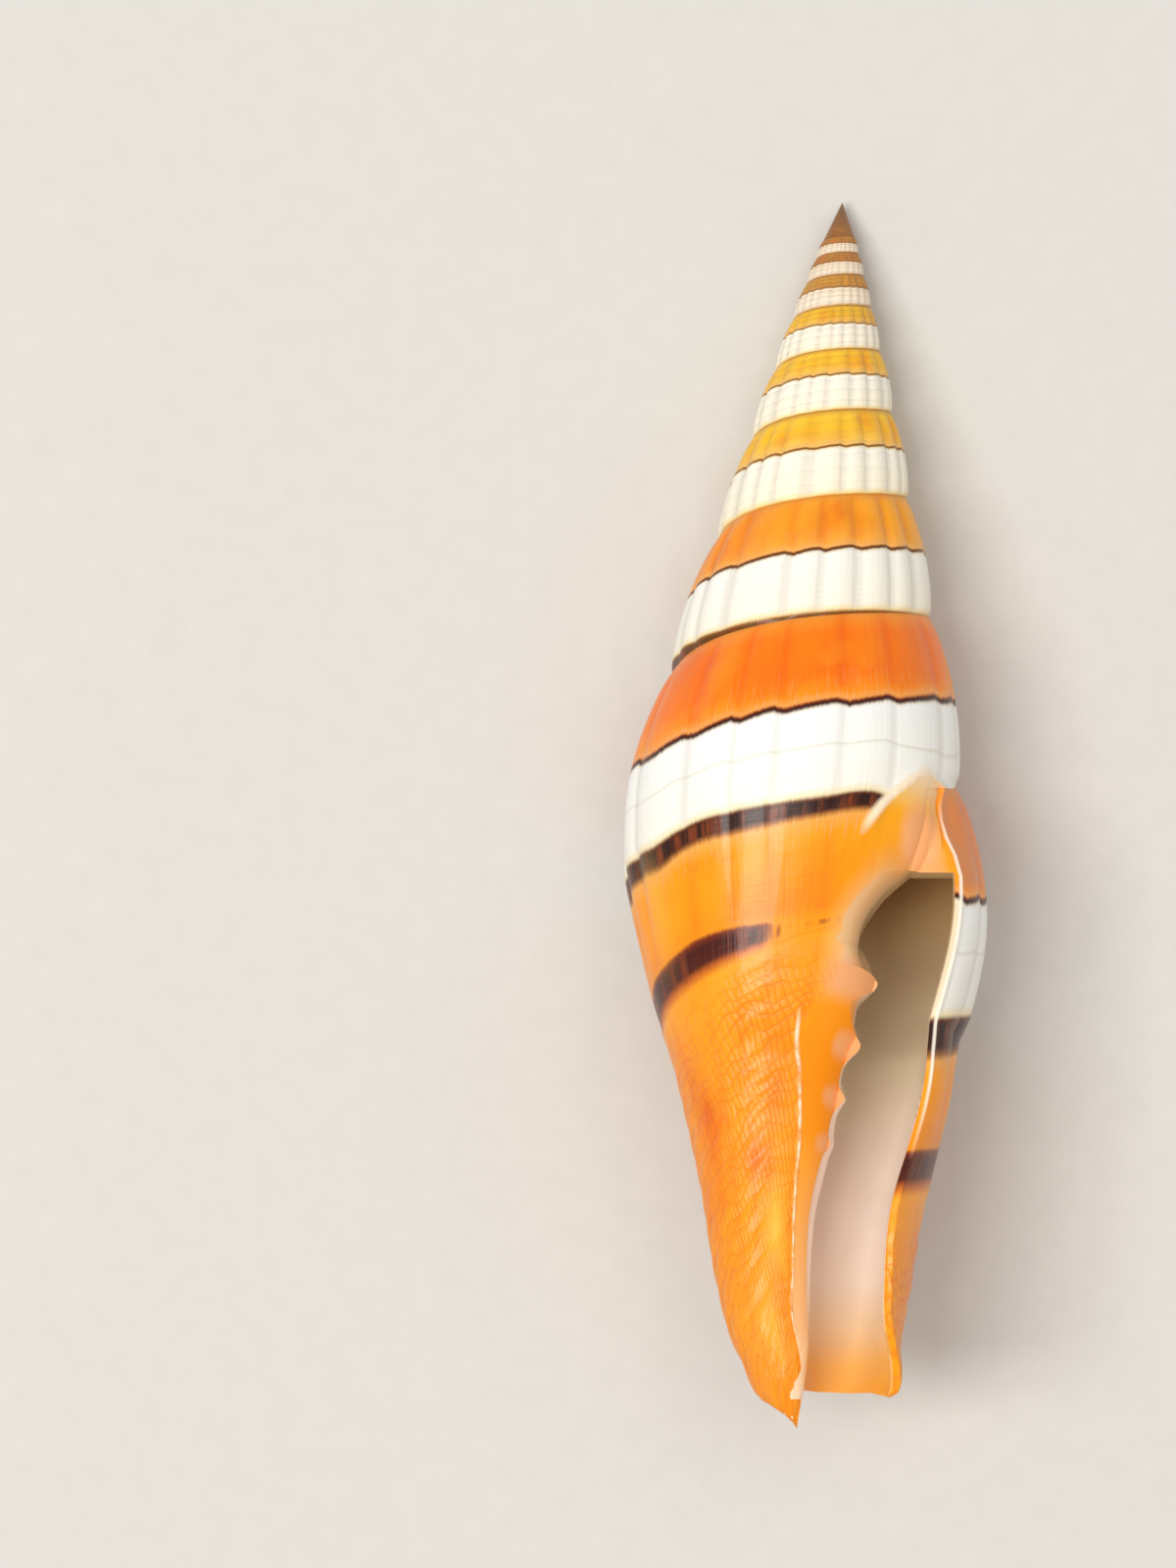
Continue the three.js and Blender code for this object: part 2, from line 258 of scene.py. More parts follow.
def callus_rim(turn, a):
    """1 on the thin raised line that bounds the glaze."""
    line = np.exp(-(((turn - callus_edge(a) + 0.004) / mix(0.007, 0.0036, smooth(36, 44, a))) ** 2))
    return line * smooth(-1.02, -1.0, turn) * smooth(-0.8, -0.84, turn) * (
        smooth(44.5, 46.5, a) + (1 - smooth(34.5, 37, a)) * smooth(31.7, 32.4, a)
    )


def fold_share(a):
    """1 on the crest of a columella fold, by distance from the apex."""
    return np.minimum(sum(np.exp(-(((a - at) / (1.15 * w)) ** 2)) for at, _, w in FOLDS), 1)


def mouth_edge(a):
    """Distance from the axis to the left edge of the mouth, without the folds."""
    return columella_edge(np.clip(a, 36, 66.7))


def near_mouth(across, a):
    """1 at the left edge of the mouth, fading over 3 mm to 0."""
    return smooth(3.2, 0, mouth_edge(a) - across)


def pad_share(across, a):
    """1 on the rounded pad that hangs over the top of the mouth."""
    return np.exp(-np.abs((across - 6.4) / 1.15) ** 3 - np.abs((a - 35.7) / 1.75) ** 3)


def patch(turn, a, at_turn, at_a, wide, tall):
    """A soft patch on the base."""
    return np.exp(-(((turn - at_turn) / wide) ** 2) - ((a - at_a) / tall) ** 2)


def redder(turn, a):
    return np.minimum(
        patch(turn, a, -0.79, 53, 0.04, 1.1) + patch(turn, a, -0.68, 51, 0.035, 3)
        + 0.6 * patch(turn, a, -0.84, 49, 0.03, 2.5), 1
    )


def yellower(turn, a):
    return np.minimum(
        patch(turn, a, -0.845, 56.5, 0.035, 2.2) + 0.7 * patch(turn, a, -0.8, 61, 0.05, 2.2)
        + 0.5 * patch(turn, a, -0.67, 40, 0.02, 2.2), 1
    )


def wall_radius(turn, a, sizes):
    """Radius of the outer wall."""
    top, bottom = suture_at(turn), suture_at(turn + 1)
    u = (a - top) / (bottom - top)
    bulge = mix(0.072, 0.098, smooth(-1.2, -0.1, turn))
    lower = mix(0.6, 1, smooth(-1.05, -0.85, turn))
    arch = np.sin(np.pi * np.clip(u, 0, 1)) ** np.where(u < 0.5, 0.8, lower)
    whorl = mix(suture_radius(top), suture_radius(bottom), u) + bulge * (bottom - top) * arch
    plain = np.where(u <= 1, whorl, base_radius(turn, a)) + rib_height(turn, u, sizes)
    last = np.where(turn >= -1.03, 1.0, 0.0)
    glaze = callus_mask(turn, a) * last
    cords = cord_height(turn, a, sizes) * last * (1 - glaze) * np.where(u > 1, 1.0, 0.0)
    rim = callus_rim(turn, a) * last
    thick = sizes.callus / MM * (glaze + mix(1.7, 0.7, smooth(36, 44, a)) * rim)
    pad = pad_share(plain * np.cos(angle_at(turn, a)), a) * last * np.where(turn < -0.8, 1, 0)
    return plain + cords + thick + sizes.pad / MM * pad - 0.02


def rounding(distance, sizes):
    """How far the lip's rounded edge stands back, by distance from the edge."""
    radius = sizes.lip_rounding / MM
    share = np.clip(1 - distance / radius, 0, 1)
    return radius * (1 - np.sqrt(1 - share**2))


def skin_radius(turn, a, sizes):
    """Radius of the outer wall with a rounded lip, which runs out on the whorl before."""
    over = wall_radius(turn, a, sizes)
    under = wall_radius(turn - 1, a, sizes)
    laid_on = smooth(33, 37.2, a) + (1 - smooth(33, 37.2, a)) * smooth(0, 0.05, -turn)
    over = np.where(turn > -0.06, mix(under + 0.04, over, laid_on), over)
    over = over - rounding(-turn * 2 * np.pi * over, sizes)
    return over - rounding(base_end(turn) - a, sizes) * np.where(turn > -1.01, 1, 0)


def place(turn, a, radius):
    angle = angle_at(turn, a)
    return np.stack([canal_lean(a) + radius * np.cos(angle), -a, radius * np.sin(angle)], -1)


def band_share(turn, u, sizes):
    """The share u stretched so that every colour band keeps its place in the pattern."""
    phase = rib_phase(turn, sizes)
    step = (phase - np.floor(phase) - 0.5) * smooth(0, 0.12, np.abs(phase - np.round(phase)))
    fine = fine_line(turn) + sizes.line_step * step
    knots = np.stack(
        np.broadcast_arrays(
            0.0, fine, upper_band_top(turn), upper_band_end(turn), lower_band_top(turn),
            lower_band_end(turn), 6.0,
        ),
        -1,
    )
    marks = np.array([0, 0.5, 1.0, 1.1, 1.65, 1.76, 6.0])
    k = np.clip((np.asarray(u)[..., None] >= knots[..., 1:-1]).sum(-1), 0, len(marks) - 2)
    low = np.take_along_axis(knots, k[..., None], -1)[..., 0]
    high = np.take_along_axis(knots, k[..., None] + 1, -1)[..., 0]
    return marks[k] + (u - low) / (high - low) * (marks[k + 1] - marks[k])


def lay_down(points, wear_and_highlight=True):
    """Millimetres on the upright axis to metres in the frame of the part, worn flat at z = 0."""
    turned = Matrix.Rotation(math.radians(REST_PITCH), 3, "X") @ Matrix.Rotation(
        math.radians(REST_ROLL), 3, "Y"
    )
    laid = (points @ np.array(turned).T + np.array(REST_SHIFT)) * MM
    if wear_and_highlight:
        laid[:, 2] = np.maximum(laid[:, 2], 0)
    return laid


# Properties


class ShellSizes(PropertyGroup):
    """Sizes of the shell's relief."""

    ribs: FloatProperty(name="Ribs", description="Ribs on the last turn", default=16.4)
    rib_change: FloatProperty(
        name="Rib change", description="How many more ribs each earlier turn has", default=0.45
    )
    rib_relief: FloatProperty(
        name="Rib relief", description="Rib height as a share of the whorl's radius", default=0.034
    )
    line_step: FloatProperty(
        name="Line step", description="How far the fine line steps at each rib", default=0.035
    )
    cord_spacing: FloatProperty(
        name="Cord spacing", description="Spacing of the base's cords in turns", default=0.045
    )
    cord_relief: FloatProperty(
        name="Cord relief", description="Height of the base's cords", default=0.0001, unit="LENGTH"
    )
    callus: FloatProperty(
        name="Glaze", description="Thickness of the glaze beside the mouth", default=0.00014,
        unit="LENGTH",
    )
    pad: FloatProperty(
        name="Pad", description="Height of the pad over the top of the mouth", default=0.00032,
        unit="LENGTH",
    )
    lip_rounding: FloatProperty(
        name="Lip rounding", description="Radius of the lip's edge", default=0.00028, unit="LENGTH"
    )
    edge_rounding: FloatProperty(
        name="Columella rounding", description="Width of the columella's rounded edge", default=0.0018,
        unit="LENGTH",
    )
    columns: IntProperty(name="Columns", description="Mesh columns to a turn", default=320)


class ShellColours(PropertyGroup):
    """Colours of the shell."""

    shoulder: FloatVectorProperty(
        name="Shoulder", description="Orange above the white band", subtype="COLOR",
        default=linear("FF7E00"),
    )
    base: FloatVectorProperty(
        name="Base", description="Orange below the white band", subtype="COLOR",
        default=linear("FF9900"),
    )
    # Also used for the painted shade in the grooves between the ribs
    red: FloatVectorProperty(
        name="Red streaks", description="Deeper orange of the streaks", subtype="COLOR",
        default=linear("E85000"),
    )
    white: FloatVectorProperty(
        name="White", description="The broad white band", subtype="COLOR",
        default=linear("FAFAF8"),
    )
    dark: FloatVectorProperty(
        name="Dark", description="The dark bands", subtype="COLOR", default=linear("2A100A")
    )
    # Peach of the pale streaks, which are painted highlights: glints of light on the fine striae
    peach: FloatVectorProperty(
        name="Peach", description="Pale streaks and the pad at the top of the mouth",
        subtype="COLOR", default=linear("F2AC70"),
    )


class StudioSettings(PropertyGroup):
    """The floor, the lights and the camera."""

    floor: FloatVectorProperty(
        name="Floor", description="Colour of the floor", subtype="COLOR", default=linear("D6D4D0")
    )
    key: FloatProperty(
        name="Key light", description="Power of the large light from the left", default=1.9, unit="POWER"
    )
    side: FloatProperty(
        name="Side light", description="Power of the softer light from the right", default=0.7,
        unit="POWER",
    )
    sky: FloatProperty(name="Sky", description="Strength of the light all round", default=0.5)
    lens: FloatProperty(name="Lens", description="Focal length in millimetres", default=400.0)
    frame_height: FloatProperty(
        name="Frame", description="Height of the picture at the shell", default=0.08247,
        unit="LENGTH",
    )


# Meshes


# The values that each corner carries for the materials, a pair to a UV map. A turn t is kept as
# t + 10 and a depth in centimetres. On the lining, callus is 1 on the outer wall, 0 on the inner.
CORNER_VALUES = {
    "growth": ("turn", "band"), "place": ("depth", "callus"), "relief": ("crest", "rim"),
    "spiral": ("cord", "fold"), "mouth": ("near", "pad"), "patches": ("red", "yellow"),
}


def corner_maps(a, near, **values):
    """The UV maps of a mesh. The folds' colour reaches less far from the mouth on the lower ones."""
    reach = np.where(a < 45, smooth(0.1, 0.55, near), smooth(0.7, 1, near))
    values.update(depth=a / 10, near=near, fold=values["fold"] * reach)
    return {
        map_name: np.column_stack([values.get(name, 0) + 0 * a for name in pair])
        for map_name, pair in CORNER_VALUES.items()
    }


def skin_maps(turn, a, own_turn, across, sizes):
    """The UV maps of the skin."""
    return corner_maps(
        a, near_mouth(across, a) * smooth(-0.72, -0.8, own_turn), turn=turn + 10,
        band=band_share(turn, share_of(turn, a), sizes), callus=callus_mask(own_turn, a),
        crest=rib_crest(turn, sizes), rim=callus_rim(turn, a), cord=spiral_of(turn, a),
        fold=fold_share(a), pad=pad_share(across, a) * smooth(-0.8, -0.9, own_turn),
        red=redder(turn, a), yellow=yellower(turn, a),
    )


def new_mesh_object(name, points, faces, maps, material_index=0):
    """A mesh object from points, faces and its maps, each with one pair for every corner."""
    mesh = bpy.data.meshes.new(name)
    mesh.from_pydata(points.tolist(), [], faces)
    for map_name, values in maps.items():
        layer = mesh.uv_layers.new(name=map_name, do_init=False)
        layer.data.foreach_set("uv", np.asarray(values, np.float32).ravel())
    mesh.polygons.foreach_set("material_index", [material_index] * len(faces))
    piece = bpy.data.objects.new(name, mesh)
    bpy.context.scene.collection.objects.link(piece)
    return piece


def make_active(piece):
    for other in bpy.context.selected_objects:
        other.select_set(False)
    piece.select_set(True)
    bpy.context.view_layer.objects.active = piece


def cells(grid):
    """The corners of each cell of a grid, in order round it."""
    return np.stack([grid[:-1, :-1], grid[1:, :-1], grid[1:, 1:], grid[:-1, 1:]], -1)


def stitch(inner, outer, depth):
    """Triangles between two rows of points that both run away from the apex."""
    faces = []
    p = q = 0
    while p < len(inner) - 1 or q < len(outer) - 1:
        inner_done, outer_done = p == len(inner) - 1, q == len(outer) - 1
        if inner_done or (not outer_done and depth[outer[q + 1]] < depth[inner[p + 1]]):
            face = (outer[q + 1], outer[q], inner[p])
            q += 1
        else:
            face = (inner[p], inner[p + 1], outer[q])
            p += 1
        if len(set(face)) == 3:
            faces.append(face)
    return faces


def bridge_rows(start, a, sizes):
    """Rows that draw the skin in a soft curve from the start of the last whorl to its lip."""
    inner = skin_radius(0 * a - 1, a, sizes)
    outer = skin_radius(0 * a, a, sizes)
    pad_at_start = pad_share(start[:, 0], a)
    for f in np.arange(1, BRIDGE_STEPS) / BRIDGE_STEPS:
        radius = mix(inner, outer, f**2)
        angle = mix(math.radians(LIP_ANGLE), angle_at(0.0, a), f)
        pad = pad_share(canal_lean(a) + radius * np.cos(angle), a)
        valley = math.exp(-(((f - 0.6) / 0.22) ** 2)) * (
            0.1 * smooth(32.8, 33.6, a) + 0.5 * smooth(34.8, 37.5, a)
        )
        radius += sizes.pad / MM * (pad - pad_at_start * (1 - f) ** 2) - valley
        yield f, np.stack(
            [canal_lean(a) + radius * np.cos(angle), -a, radius * np.sin(angle)], -1
        )


class SHELL_OT_coil_wall(Operator):
    """Coil the outer wall from the apex to the lip, as one closed skin"""

    bl_idname = "shell.coil_wall"
    bl_label = "Coil the Wall"

    def execute(self, context):
        sizes = context.scene.shell_sizes
        step = sizes.columns
        columns = round(TURNS * step)
        first = columns - step
        rows = len(WALL_SHARES)
        base_shares = np.linspace(0, 1, BASE_ROWS) ** 0.98
        turns = (np.arange(columns + 1) - columns) / step

        t = np.repeat(turns, rows)
        top = suture_at(t)
        a = top + np.tile(WALL_SHARES, columns + 1) * (suture_at(t + 1) - top)
        last = turns[first:]
        tb = np.repeat(last, len(base_shares))
        ab = mix(suture_at(tb + 1), base_end(tb), np.tile(base_shares, len(last)))
        t_all, a_all = np.concatenate([t, tb]), np.concatenate([a, ab])
        points = place(t_all, a_all, skin_radius(t_all, a_all, sizes))

        wall = np.arange((columns + 1) * rows).reshape(-1, rows)
        base = (len(t) + np.arange(len(tb))).reshape(-1, len(base_shares))
        base[0, 0] = wall[columns, 0]
        spire_ids = np.column_stack([wall[:first + 1], wall[step : columns + 1, 0]])
        last_ids = np.column_stack([wall[first:], base])
        faces, corner_turn, corner_a = [], [], []
        for ids, at_turn in ((spire_ids, turns[:first + 1]), (last_ids, last)):
            faces += map(tuple, cells(ids).reshape(-1, 4).tolist())
            corner_turn.append(cells(np.broadcast_to(at_turn[:, None], ids.shape)).reshape(-1))
            corner_a.append(cells(a_all[ids]).reshape(-1))

        start_a = a_all[base[0]]
        bridge = [base[0]]
        for share, between in bridge_rows(points[base[0]], start_a, sizes):
            added = len(points) + np.arange(len(start_a))
            added[0] = base[0, 0]
            points = np.vstack([points, between])
            a_all, t_all = np.append(a_all, start_a), np.append(t_all, 0 * start_a - 1 + share / 50)
            bridge.append(added)

        # Tip of the spire, end of the last whorl at the lip, and lower end of the base
        apex, middle = len(points), len(points) + 1
        points = np.vstack(
            [points, [0, -APEX_AT, 0], [canal_lean(BASE_MIDDLE), -BASE_MIDDLE, 0]]
        )
        depth_all = np.append(a_all, [APEX_AT, BASE_MIDDLE])
        turn_all = np.append(t_all, [-TURNS, -0.5])
        loose = [(wall[i + 1, 0], wall[i, 0], apex) for i in range(step)]
        first_column = [*wall[0], wall[step, 0]]
        loose += [(first_column[j], first_column[j + 1], apex) for j in range(rows)]
        lip_faces = []
        for inner, outer in zip(bridge, bridge[1:]):
            for j in range(len(inner) - 1):
                face = (outer[j + 1], outer[j], inner[j], inner[j + 1])
                lip_faces.append(face if j else (outer[1], inner[0], inner[1]))
        lip_faces += stitch(
            [int(v) for v in bridge[-1]], [*map(int, wall[columns]), *map(int, base[-1])],
            depth_all,
        )
        rim = [*last_ids[:, -1], *(column[-1] for column in bridge[::-1])]
        bottom = [(rim[i], rim[i + 1], middle) for i in range(len(rim) - 1)]
        own_turn = list(corner_turn)
        for group, at_turn in ((loose, None), (lip_faces, 0.0), (bottom, None)):
            for face in group:
                faces.append(tuple(int(v) for v in face))
                own = np.array([turn_all[v] for v in face], float)
                own_turn.append(own)
                corner_turn.append(own if at_turn is None else 0 * own + at_turn)
                corner_a.append(np.array([depth_all[v] for v in face], float))

        corners = np.array([v for face in faces for v in face])
        maps = skin_maps(
            np.concatenate(corner_turn), np.concatenate(corner_a), np.concatenate(own_turn),
            points[corners, 0], sizes,
        )
        piece = new_mesh_object("shell_skin", lay_down(points), faces, maps)
        make_active(piece)
        return {"FINISHED"}


def hollow_loops(sizes):
    """Loops round the hollow from the lip up into the whorl, each down the columella and back."""
    turns = np.concatenate(
        [-np.linspace(0, 1, 9) ** 1.5 * 0.04, np.arange(-0.055, HOLLOW_END, -0.015), [HOLLOW_END]]
    )
    inner_rows = np.concatenate(
        [np.linspace(MOUTH_TOP, 41, 20), np.arange(41.2, 53.6, 0.14),
         np.linspace(53.8, HOLLOW_FLOOR, 30)]
    )
    loops, depths = [], []
    for turn in turns:
        inside = smooth(0, 0.25, -turn)
        closing = smooth(0.42, 0.62, -turn)
        top = mix(MOUTH_TOP, suture_at(turn) + 2.4, inside)
        floor = mix(HOLLOW_FLOOR, 47, closing)
        wall = mix(0.6, 0.95, smooth(0, 0.1, -turn))
        span = (floor - top) / (HOLLOW_FLOOR - MOUTH_TOP)

        def outer_radius(a):
            stop = np.minimum(a, base_end(turn))
            whole = wall_radius(turn, stop, sizes)
            relief = rib_height(turn, share_of(turn, stop), sizes) + cord_height(
                turn, stop, sizes
            )
            return whole - relief - wall + 0.7 * rounding(-turn * AROUND_LIP, sizes)

        a_in = top + (inner_rows - MOUTH_TOP) * span
        angle = angle_at(turn, a_in)
        reach = np.where(
            angle > 0, 1 / np.cos(np.maximum(angle, 0)), 1.3 ** (angle / (2 * math.pi))
        )
        seen = (columella_edge(inner_rows) - canal_lean(inner_rows)) * reach
        coiled = np.maximum(base_radius(turn - 1, np.maximum(a_in, SUTURE_AT_LIP)), 1.1)
        fold = sum(h * np.exp(-(((inner_rows - at) / w) ** 2)) for at, h, w in FOLDS)
        risen = 1 - 0.35 * smooth(0, 0.03, -turn)
        radius = np.minimum(np.minimum(seen, coiled) + fold * risen, outer_radius(a_in) - 0.3)
        a_out = np.linspace(floor, top, OUTER_STEPS + 1)
        loops.append(
            np.vstack([place(turn, a_in, radius), place(turn, a_out, outer_radius(a_out))])
        )
        depths.append(np.concatenate([a_in, a_out]))
    return turns, inner_rows, loops, depths


def columella_roll(start, depths, sizes):
    """Loops straight ahead of the lip, where the mouth is open and the columella rolls over."""
    n_in = len(depths)
    a_front = np.minimum(depths, 66.2)

    def front_height(x):
        """Height of the wall's front at x."""
        on_turn = np.full(n_in, -0.9)
        for _ in range(5):
            radius = wall_radius(on_turn, a_front, sizes)
            across = np.clip((x - canal_lean(a_front)) / radius, -0.95, 0.95)
            on_turn = -1 + (np.degrees(np.arccos(across)) - LIP_ANGLE) / 360
        return radius * np.sin(np.arccos(across))

    wide = sizes.edge_rounding / MM * mix(1, 0.42, smooth(47, 57, a_front))
    x_in = start[:n_in, 0]
    x_out = mouth_edge(a_front) - wide
    z_out = front_height(x_out) + 0.05
    slope = (front_height(x_out + 0.3) - front_height(x_out - 0.3)) / 0.6
    z_corner = z_out + slope * (x_in - x_out)
    z_in = np.maximum(z_corner - 0.9 * wide, start[:n_in, 2] + 0.4)
    z_corner = np.maximum(z_corner, z_in + 0.2)
    front, progress = [], []

    # Up from the lip's loop to f = 1, round a quadratic curve to f = 2, and on out of the shell
    for f in (0.3, 0.6, 0.85, *np.linspace(1, 2, 15), 2.3):
        moved = start.copy()
        g = np.clip(f - 1, 0, 1)
        rolled = (1 - g) ** 2, 2 * g * (1 - g), g * g
        moved[:n_in, 0] = (rolled[0] + rolled[1]) * x_in + rolled[2] * x_out
        moved[:n_in, 2] = rolled[0] * z_in + rolled[1] * z_corner + rolled[2] * z_out
        if f < 1:
            moved[:n_in, 2] = mix(start[:n_in, 2], z_in, f)
        if f > 2:
            moved[:n_in, 0] -= 0.5
            moved[:n_in, 2] += 2.5
        moved[n_in:, 2] = mix(start[n_in:, 2], 12, f / 2.3)
        front.insert(0, moved)
        progress.insert(0, g)
    return front, progress


class SHELL_OT_cut_mouth(Operator):
    """Cut the mouth, the siphonal canal and the way up into the whorl out of the skin"""

    bl_idname = "shell.cut_mouth"
    bl_label = "Cut the Mouth"

    def execute(self, context):
        sizes = context.scene.shell_sizes
        skin = bpy.data.objects["shell_skin"]
        turns, inner_rows, loops, depths = hollow_loops(sizes)
        n_in = len(inner_rows)
        front, progress = columella_roll(loops[0], depths[0][:n_in], sizes)
        all_loops = front + loops
        loop_turns = np.concatenate([progress, turns])

        count = len(loops[0])
        points = np.vstack(all_loops)
        ids = np.arange(len(points)).reshape(len(all_loops), count)
        following = np.roll(ids, -1, axis=1)
        quad = np.stack([ids[:-1], ids[1:], following[1:], following[:-1]], -1).reshape(-1, 4)
        faces = [tuple(q) for q in quad.tolist()]
        depth = -points[:, 1]
        for loop, flip in ((ids[0], False), (ids[-1], True)):
            inner = loop[:n_in].tolist()
            outer = loop[n_in:][::-1].tolist()
            cap = stitch(inner, outer, depth)
            faces += [tuple(reversed(face)) for face in cap] if flip else cap
        turn_of = np.repeat(loop_turns, count)
        a_of = np.concatenate([depths[0]] * len(front) + depths)
        side_of = np.tile(np.repeat([0, 1], [n_in, OUTER_STEPS + 1]), len(all_loops))
        fold_of = np.tile(
            np.append(fold_share(inner_rows), np.zeros(OUTER_STEPS + 1)), len(all_loops)
        )
        corners = np.array([v for face in faces for v in face])
        a = a_of[corners]
        maps = corner_maps(
            a, near_mouth(points[corners, 0], a), turn=turn_of[corners] + 10, band=a / 10,
            callus=side_of[corners], crest=1, fold=fold_of[corners],
        )
        hollow = new_mesh_object("mouth_cutter", lay_down(points, wear_and_highlight=False), faces, maps, 1)
        for name in ("glazed_shell", "porcelain_lining"):
            material = bpy.data.materials.new(name)
            skin.data.materials.append(material)
            hollow.data.materials.append(material)
        make_active(skin)
        cut = skin.modifiers.new("mouth", "BOOLEAN")
        cut.operation = "DIFFERENCE"
        cut.solver = "MANIFOLD"
        cut.object = hollow
        bpy.ops.object.modifier_apply(modifier=cut.name)
        bpy.data.objects.remove(hollow)
        bpy.ops.object.shade_smooth_by_angle(angle=math.radians(38))
        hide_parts("shell")
        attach(skin, "root")
        return {"FINISHED"}


# Materials

# The white band, by half the share that band_share gives
WHITE_FIELD = [(0.25, 0.0), (0.265, 1.0), (0.47, 1.0), (0.495, 0.0)]


def rgba(colour):
    """Four channels from an sRGB hex value, a linear colour or a grey level."""
    if isinstance(colour, str):
        colour = linear(colour)
    return (*colour, 1) if hasattr(colour, "__len__") else (colour, colour, colour, 1)


def node(tree, kind, inputs=None, out=0, stops=None, **settings):
    """Adds a node, sets it, links its inputs, and gives back one of its outputs."""
    made = tree.nodes.new("ShaderNode" + kind)
    for name, value in settings.items():
        setattr(made, name, value)
    if stops:
        ramp = made.color_ramp
        while len(ramp.elements) < len(stops):
            ramp.elements.new(1)
        for element, (position, colour) in zip(ramp.elements, stops):
            element.position = position
            element.color = rgba(colour)
    for name, value in (inputs or {}).items():
        if isinstance(value, bpy.types.NodeSocket):
            tree.links.new(value, made.inputs[name])
        else:
            made.inputs[name].default_value = rgba(value) if isinstance(value, str) else value
    return made.outputs[out] if made.outputs else None


def emptied_material(name):
    """A material without nodes, and the function that adds one to it."""
    material = bpy.data.materials.get(name) or bpy.data.materials.new(name)
    material.use_nodes = True
    material.node_tree.nodes.clear()
    return material, partial(node, material.node_tree)


def carried(add, name):
    """One of the values that the corners of the mesh carry."""
    map_name, pair = next(item for item in CORNER_VALUES.items() if name in item[1])
    return add("SeparateXYZ", {0: add("UVMap", uv_map=map_name)}, out=pair.index(name))


def grown_noise(add, along, down, detail):
    """Noise that follows the growth: so many cells to a turn, and down the whorl."""
    growth = add("UVMap", uv_map="growth")
    at = add("VectorMath", {0: growth, 1: (along, down, 1)}, operation="MULTIPLY")
    return add("TexNoise", {"Vector": at, "Scale": 1.0, "Detail": detail})


def ridges(add, phase, power):
    """Rounded ridges parted by narrow grooves, one for each pi of phase."""
    for operation, more in (("SINE", {}), ("ABSOLUTE", {}), ("POWER", {1: power})):
        phase = add("Math", {0: phase, **more}, operation=operation)
    return phase


def mouth_glaze(add, depth):
    """Colour of the glaze round the mouth, by distance from the apex in centimetres."""
    at = add("MapRange", {"Value": depth, 1: 3.1, 2: 6.7})
    far = add("ValToRGB", {"Fac": at}, stops=[
        (0.0, "FFF6DC"), (0.04, "FBEBC0"), (0.07, "F8C860"), (0.1, "FFAC10"), (0.15, "FFA406"),
        (0.2, "FFB428"), (0.27, "FFBE40"), (0.33, "FFB83A"), (0.39, "FF9A04"), (0.5, "FF9000"),
        (0.58, "FF9A0C"), (0.7, "FFAA30"), (0.85, "FFA828"), (0.95, "FFB460"), (1.0, "FFDCB0"),
    ])
    close = add("ValToRGB", {"Fac": at}, stops=[
        (0.0, "FFF6DC"), (0.1, "FFAC10"), (0.16, "F4A450"), (0.2, "EFB67C"), (0.3, "F2C490"),
        (0.35, "F8B884"), (0.385, "FF9C18"), (0.42, "FF9810"), (0.47, "FF9608"),
        (0.56, "FF9A14"), (0.62, "FFAA40"), (0.72, "FFB868"), (0.84, "FFC890"),
        (0.94, "FFD8B0"), (1.0, "FFE8D0"),
    ])
    near, fold, pad = (carried(add, name) for name in ("near", "fold", "pad"))
    colour = add("Mix", {"Factor": near, 6: far, 7: close}, out=2, data_type="RGBA")
    on_fold = add("MapRange", {"Value": fold, 1: 0.15, 2: 0.75, 3: 0.0, 4: 0.9})
    on_pad = add("MapRange", {"Value": pad, 1: 0.25, 2: 0.75, 3: 0.0, 4: 0.9})
    peach = add("Math", {0: on_fold, 1: on_pad}, operation="MAXIMUM")
    return add("Mix", {"Factor": peach, 6: colour, 7: "F8B078"}, out=2, data_type="RGBA")


